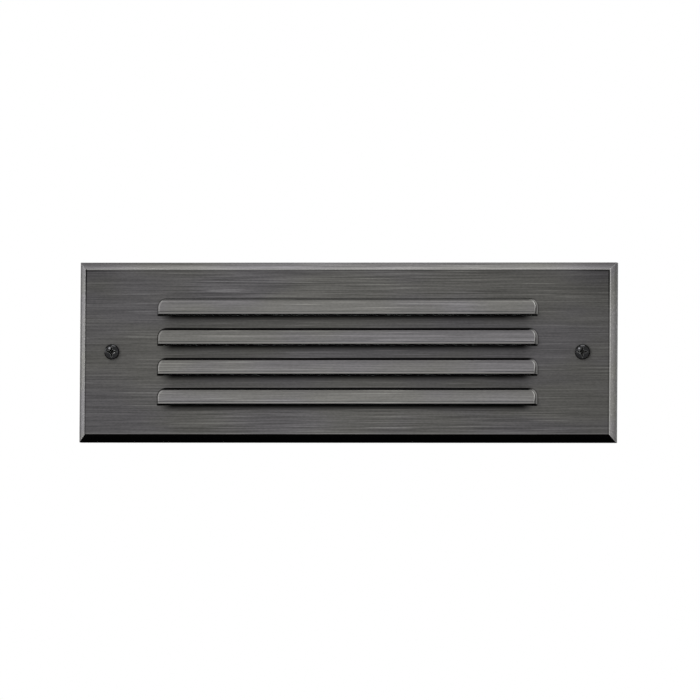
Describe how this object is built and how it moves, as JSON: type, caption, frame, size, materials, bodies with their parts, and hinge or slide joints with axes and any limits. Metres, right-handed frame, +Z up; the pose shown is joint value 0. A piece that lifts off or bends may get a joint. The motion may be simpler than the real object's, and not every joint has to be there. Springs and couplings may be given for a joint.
{
  "type": "step light",
  "caption": "Recessed step light: bevelled metal faceplate with hooded louvers over a die-cast wall box with lens, reflector, light board and driver.",
  "frame": {"origin": "centre of the faceplate's rear rim, on the wall's face", "axes": "-Y out of the wall, towards a person looking at the light; +Y into the wall; +X to that person's right; +Z up"},
  "size_m": [0.2476, 0.0836, 0.0826],
  "materials": {
    "gunmetal_plate": "cast, brushed lengthwise, dark gunmetal patina",
    "black_screw": "glossy black oxide",
    "seal_rubber": "closed-cell rubber",
    "box_casting": "die-cast, dark powder coat",
    "frosted_glass": "frosted, ground edge",
    "frame_sheet": "black painted sheet",
    "zinc_screw": "zinc plated",
    "white_enamel": "white enamel on sheet",
    "board_mask": "white solder mask on aluminium board",
    "led_phosphor": "yellow phosphor in a white case",
    "connector_white": "moulded",
    "pad_grey": "filled silicone pad",
    "tray_sheet": "galvanized sheet",
    "driver_case": "moulded, sealed",
    "block_plastic": "moulded polyamide",
    "terminal_brass": "nickel-free brass",
    "green_screw": "green-dyed steel",
    "copper_lug": "tinned copper",
    "lead_black": "insulation",
    "lead_white": "insulation",
    "lead_green": "insulation",
    "lead_red": "insulation",
    "plug_metal": "die-cast, dark coat"
  },
  "bodies": {
    "housing": {"back_box": "box_casting", "lens": "frosted_glass", "lens_gasket": "seal_rubber", "lens_frame": "frame_sheet", "lens_frame_screws": "zinc_screw", "reflector": "white_enamel", "led_board": "board_mask", "leds": "led_phosphor", "board_connector": "connector_white", "thermal_pad": "pad_grey", "board_screws": "zinc_screw", "gear_tray": "tray_sheet", "tray_screws": "zinc_screw", "wire_grommet": "seal_rubber", "led_driver": "driver_case", "driver_screws": "zinc_screw", "terminal_block": "block_plastic", "terminal_screws": "terminal_brass", "terminal_block_screws": "zinc_screw", "supply_lead_live": "lead_black", "supply_lead_neutral": "lead_white", "output_lead_positive": "lead_red", "output_lead_negative": "lead_black", "ground_screw": "green_screw", "ground_lug": "copper_lug", "ground_wire": "lead_green", "conduit_plug_left": "plug_metal", "conduit_plug_right": "plug_metal"},
    "faceplate": {"faceplate": "gunmetal_plate", "faceplate_gasket": "seal_rubber"},
    "face_screw_left": {"face_screw_left": "black_screw"},
    "face_screw_right": {"face_screw_right": "black_screw"}
  },
  "joints": [
    {"name": "faceplate_release", "type": "slide", "parent": "housing", "child": "faceplate", "axis": [0, -1, 0], "range_m": [0, 0.04]},
    {"name": "face_screw_left_turn", "type": "hinge", "parent": "faceplate", "child": "face_screw_left", "pos_m": [-0.1086, -0.0075, 0], "axis": [0, 1, 0], "continuous": true},
    {"name": "face_screw_right_turn", "type": "hinge", "parent": "faceplate", "child": "face_screw_right", "pos_m": [0.1086, -0.0075, 0], "axis": [0, 1, 0], "continuous": true}
  ]
}
